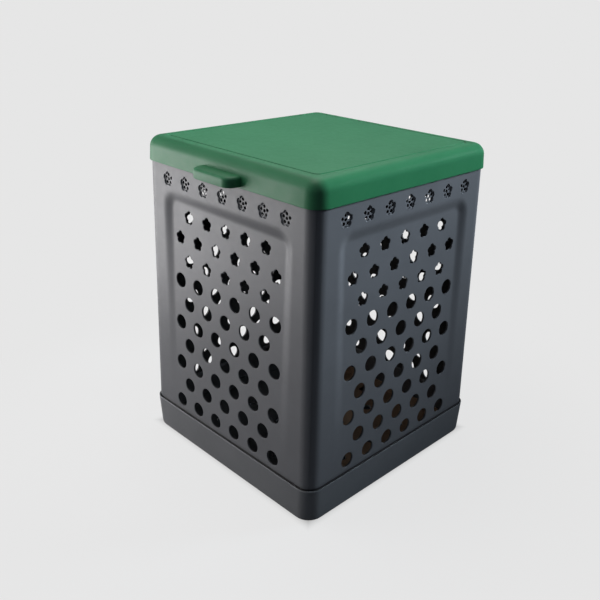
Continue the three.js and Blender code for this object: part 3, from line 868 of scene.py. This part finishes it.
# The back panel also carries two pairs of ears for the hinge pins
hinge_y = 147.557
hinge_z = 355.3
hinge_radius = 5.0
hinge_place = 81.5
pin_hole = 2.3
pin_hole_steps = 20
plate_easing = 0.35
root_depth = 1.1
ear_thickness = 3.4
ear_away = 6.2
ear_shoulder = 354.9
ear_drop = 22.0


def hinge_arc(start, end, steps):
    arc = []
    for i in range(steps + 1):
        turn = start + (end - start) * i / steps
        y = hinge_y + hinge_radius * math.cos(turn)
        z = hinge_z + hinge_radius * math.sin(turn)
        arc.append((y, z))
    return arc


def side_plate(target, outline, hole, thickness, centre):
    """A plate drawn outward and up, with a hole through it and eased edges."""
    work = bmesh.new()
    flat = outline + hole
    rim = list(range(len(outline)))
    ring = list(range(len(outline), len(flat)))
    net = []
    for triangle in pierced_net(flat, [ring, rim], 1):
        middle = [sum(flat[i][axis] for i in triangle) / 3 for axis in (0, 1)]
        if is_inside(middle, outline):
            net.append(triangle)
    sides = []
    for x in (centre - thickness / 2, centre + thickness / 2):
        sides.append([work.verts.new((x, y, z)) for y, z in flat])
        for triangle in net:
            work.faces.new([sides[-1][i] for i in triangle])
    edges = []
    for loop in (rim, ring):
        for a, b in zip(loop, loop[1:] + loop[:1]):
            face = work.faces.new((sides[0][a], sides[0][b], sides[1][b], sides[1][a]))
            for edge in face.edges:
                if any(set(edge.verts) <= set(plane) for plane in sides):
                    edges.append(edge)
    bmesh.ops.bevel(
        work, geom=edges, offset=plate_easing, segments=2, profile=0.5,
        affect="EDGES", clamp_overlap=True,
    )
    work.verts.index_update()
    first = len(target.corners)
    target.row([tuple(v.co) for v in work.verts], 0.3)
    target.faces.extend(tuple(first + v.index for v in face.verts) for face in work.faces)
    work.free()


for name, node, turn in (
    ("front_wall", "wall_front", 0.0),
    ("right_wall", "wall_right", math.pi / 2),
    ("back_wall", "wall_back", math.pi),
    ("left_wall", "wall_left", -math.pi / 2),
):
    panel = wall_panel()
    if node == "wall_back":
        ear_root = wall_half(ear_shoulder) - root_depth
        ear_outline = [(ear_root, ear_shoulder - ear_drop)] + hinge_arc(-math.pi / 4, math.pi, 18)
        ear_outline += [(hinge_y - hinge_radius, ear_shoulder), (ear_root, ear_shoulder)]
        ears = Moulding()
        for side in (-1, 1):
            for ear in (-1, 1):
                hole = round_loop(pin_hole, pin_hole_steps, (hinge_y, hinge_z))
                centre = side * hinge_place + ear * ear_away
                side_plate(ears, ear_outline, hole, ear_thickness, centre)
        first = panel.row([(-x, -y, z) for x, y, z in ears.corners], 0.3)[0]
        panel.faces.extend(tuple(first + i for i in face) for face in ears.faces)
    wall = panel.make(name, wall_plastic, turn)
    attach(wall, "bin")
    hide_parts(node)


# The lid is one green moulding: a rolled edge round a slightly crowned plate with a fine line set
# in it, a skirt that laps over the walls, a hollow finger tab in front and two knuckles behind. A
# ledge and four ribs under it keep it stiff and sit it on the walls.

lid_low = 355.3
lid_half = 141.457
lid_inner_half = 139.657
lid_draft = 1.0
lid_inner_draft = 0.307
lid_top = 383.1
lid_edge_radius = 13.0
lid_edge_steps = 12
lid_corner_offset = 122.907
lid_ledge = 373.0
lid_ledge_half = 134.257
lid_underside = 380.5
lid_inset_half = 122.06
lid_line_width = 2.0
lid_line_depth = 1.0
lid_crown = 0.9
lid_crown_steps = 8
lid_middle_half = 30
lid_rib_place = 60.4
lid_rib_thickness = 2.2
lid_rib_low = 376.5

lid_plastic = moulded_plastic(
    "green_lid_plastic",
    dark=(0.026, 0.158, 0.066), light=(0.033, 0.177, 0.076), rubbed=(0.06, 0.22, 0.12),
    rough_low=0.45, rough_high=0.55, grain=0.35, waves=0.3, gloss=0.43,
)

# The profile from the ledge's underside out over the edge to the middle of the top: how far out,
# how high, the corner's radius in plan, and wear
lid = Moulding()
lid_profile = [
    (lid_ledge_half - 3.4, lid_underside, 5.0, 0),
    (lid_ledge_half - 2.6, lid_underside, 5.8, 0),
    (lid_ledge_half - 0.8, lid_underside - 0.8, 7.6, 0),
    (lid_ledge_half, lid_underside - 2.6, 8.4, 0),
    (lid_ledge_half, lid_ledge + 0.4, 8.4, 0),
    (lid_ledge_half + 0.4, lid_ledge, 8.8, 0.2),
    (lid_inner_half - lid_inner_draft - 0.5, lid_ledge, 13.8, 0),
    (lid_inner_half - lid_inner_draft, lid_ledge - 0.5, 14.2, 0),
    (lid_inner_half, lid_low + 0.5, 14.5, 0.2),
    (lid_inner_half + 0.25, lid_low + 0.08, 14.8, 0.6),
    (lid_inner_half + 0.6, lid_low, 15.2, 0.8),
    (lid_half - 0.6, lid_low, 17.9, 1),
    (lid_half - 0.2, lid_low + 0.15, 18.3, 1),
    (lid_half - 0.02, lid_low + 0.6, 18.5, 0.6),
    (lid_half - 0.08, lid_low + 1.6, 18.45, 0),
]
for i in range(lid_edge_steps + 1):
    angle = math.pi / 2 * i / lid_edge_steps
    inset = lid_edge_radius * (1 - math.cos(angle))
    half = lid_half - lid_draft - inset
    height = lid_top - lid_edge_radius * (1 - math.sin(angle))
    if not i:
        lid_profile.append((half + 0.06, height - 1.0, half + 0.06 - lid_corner_offset, 0))
    lid_profile.append((half, height, half - lid_corner_offset, 0.12))
slope_step = lid_crown / 3
lid_flat_corner = 7.1
lid_line_inner = lid_inset_half - lid_line_width
for half, height in (
    (lid_inset_half + 4.0, lid_top + slope_step * 0.5),
    (lid_inset_half + 0.9, lid_top + slope_step * 0.9),
    (lid_inset_half + 0.3, lid_top + slope_step * 0.95),
    (lid_inset_half - 0.2, lid_top + slope_step - lid_line_depth * 0.8),
    (lid_inset_half - 0.6, lid_top + slope_step - lid_line_depth),
    (lid_line_inner + 0.5, lid_top + slope_step - lid_line_depth * 0.8),
    (lid_line_inner, lid_top + slope_step + 0.02),
    (lid_line_inner - 0.8, lid_top + slope_step + 0.06),
):
    lid_profile.append((half, height, lid_flat_corner, 0))
for i in range(1, lid_crown_steps + 1):
    share = i / lid_crown_steps
    half = (lid_line_inner - 0.8) * (1 - share) + lid_middle_half * share
    swell = (lid_crown - slope_step - 0.06) * math.sin(share * math.pi / 2)
    lid_profile.append((half, lid_top + slope_step + 0.06 + swell, lid_flat_corner, 0))
lid_rows = []
for half, height, radius, wear in lid_profile:
    lid_rows.append(lid.row(square_ring(half, half - radius, height), wear))
lid.skin(lid_rows)
lid.faces.append(tuple(lid_rows[-1]))
lid.faces.append(tuple(lid_rows[0]))

# Ribs across the underside, eased along their lower edges
for turn in (0, math.pi / 2):
    spin = Matrix.Rotation(turn, 3, "Z")
    for side in (-1, 1):
        half = lid_rib_thickness / 2
        section = [
            (half + 0.5, lid_underside + 0.5), (half + 0.05, lid_underside - 0.4),
            (half, lid_rib_low + 0.4), (half - 0.4, lid_rib_low),
            (0.4 - half, lid_rib_low), (-half, lid_rib_low + 0.4),
            (-half - 0.05, lid_underside - 0.4), (-half - 0.5, lid_underside + 0.5),
        ]
        across = side * lid_rib_place
        ends = []
        for x in (-lid_ledge_half - 0.5, lid_ledge_half + 0.5):
            ends.append(lid.row([spin @ Vector((x, across + y, z)) for y, z in section], 0.1))
        lid.strip(ends[0], ends[1], True)
        lid.faces.append(tuple(ends[0]))
        lid.faces.append(tuple(ends[1]))

# Finger tab, hollow below, with a rounded top edge
tab_width = 65.0
tab_offset = 1.0
tab_reach = 16.0
tab_low = 356.9
tab_high = 367.9
tab_corner = 12.0
tab_edge = 3.2
tab_shell = 2.2
tab_corner_steps = 12
tab_edge_steps = 8


def tab_ring(height, inset, root):
    """The tab's outline in plan, from its left root round the front to its right one."""
    half = tab_width / 2 - inset
    front = -lid_half - tab_reach + inset
    radius = tab_corner - inset
    ring = [(tab_offset - half, root, height)]
    for side, start in ((-1, math.pi), (1, 1.5 * math.pi)):
        for i in range(tab_corner_steps + 1):
            angle = start + math.pi / 2 * i / tab_corner_steps
            x = tab_offset + side * (half - radius) + radius * math.cos(angle)
            ring.append((x, front + radius + radius * math.sin(angle), height))
    ring.append((tab_offset + half, root, height))
    return ring


tab_root = -lid_half + root_depth
tab_rows = []
for height, inset in (
    (tab_high - tab_shell, tab_shell + 0.6), (tab_high - tab_shell - 0.6, tab_shell),
    (tab_low + 0.5, tab_shell),
):
    tab_rows.append(lid.row(tab_ring(height, inset, -lid_half + 0.6)))
for height, inset in (
    (tab_low, tab_shell - 0.4), (tab_low, 1.0), (tab_low + 0.3, 0.3), (tab_low + 1.0, 0.0),
    (tab_high - tab_edge - 1, 0.0),
):
    tab_rows.append(lid.row(tab_ring(height, inset, tab_root), 0.6))
for i in range(tab_edge_steps + 1):
    angle = math.pi / 2 * i / tab_edge_steps
    height = tab_high - tab_edge * (1 - math.sin(angle))
    inset = tab_edge * (1 - math.cos(angle))
    tab_rows.append(lid.row(tab_ring(height, inset, tab_root), 0.4))
tab_rows.append(lid.row(tab_ring(tab_high, tab_edge + 1.0, tab_root), 0))
lid.skin(tab_rows, False)
lid.faces.append(tuple(tab_rows[0]))
lid.faces.append(tuple(tab_rows[-1]))

# Knuckles that turn on the pins, each with a toe that stops the open lid against the wall
knuckle_width = 8.2
knuckle_arm = 11.0
lid_opens = 110
toe_turn = math.radians(lid_opens) - math.pi
toe_spread = math.radians(28)
toe_length = hinge_y - wall_half(hinge_z) - 0.3


def toe_tip(turn):
    """A place on the toe's flat end, which meets the wall squarely when the lid is open."""
    out = toe_length / math.cos(turn)
    return (hinge_y + out * math.cos(toe_turn + turn), hinge_z + out * math.sin(toe_turn + turn))


knuckle_root = lid_half - root_depth
knuckle_outline = hinge_arc(toe_turn + toe_spread, math.pi / 2, 12)
knuckle_outline += [(knuckle_root, hinge_z + knuckle_arm), (knuckle_root, hinge_z)]
knuckle_outline += hinge_arc(math.pi, 2 * math.pi + toe_turn - toe_spread / 2, 8)
knuckle_outline += [toe_tip(0), toe_tip(toe_spread)]
for side in (-1, 1):
    hole = round_loop(pin_hole, pin_hole_steps, (hinge_y, hinge_z))
    side_plate(lid, knuckle_outline, hole, knuckle_width, side * hinge_place)

lid_moulding = lid.make("lid_moulding", lid_plastic)
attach(lid_moulding, "lid")
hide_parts("lid")


# Two dark plastic pins join the lid's knuckles to the back wall's ears. Each is turned, with a
# domed head on its outer end, and is pushed in from the side.

pin_radius = 2.0
pin_head_radius = 3.3
pin_head = 1.3
pin_end = 8.2
pin_steps = 28

pin_plastic = moulded_plastic(
    "dark_pin_plastic",
    dark=(0.026, 0.028, 0.03), light=(0.036, 0.038, 0.041), rubbed=(0.1, 0.1, 0.105),
    rough_low=0.34, rough_high=0.44, grain=0.2, waves=0.1,
)

for name, node, side in (("left_pin", "hinge_pin_left", -1), ("right_pin", "hinge_pin_right", 1)):
    pin = Moulding()
    pin_rows = []
    for radius, along, wear in (
        (0.9, -pin_end, 0.2), (1.5, -pin_end, 0.5), (1.85, -pin_end + 0.2, 0.5),
        (pin_radius, -pin_end + 0.6, 0.3), (pin_radius, pin_end - 0.2, 0),
        (2.2, pin_end, 0), (pin_head_radius - 0.25, pin_end, 0),
        (pin_head_radius, pin_end + 0.25, 0.6), (pin_head_radius - 0.05, pin_end + 0.55, 0.8),
        (pin_head_radius - 0.4, pin_end + 0.95, 0.8), (pin_head_radius - 1.2, pin_end + 1.2, 0.4),
        (1.0, pin_end + pin_head, 0.2),
    ):
        x = side * (hinge_place + along)
        ring = round_loop(radius, pin_steps, (hinge_y, hinge_z))
        pin_rows.append(pin.row([(x, y, z) for y, z in ring], wear))
    pin.skin(pin_rows)
    pin.faces.append(tuple(pin_rows[0]))
    pin.faces.append(tuple(pin_rows[-1]))
    hinge_pin = pin.make(name, pin_plastic)
    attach(hinge_pin, "bin")
    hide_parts(node)
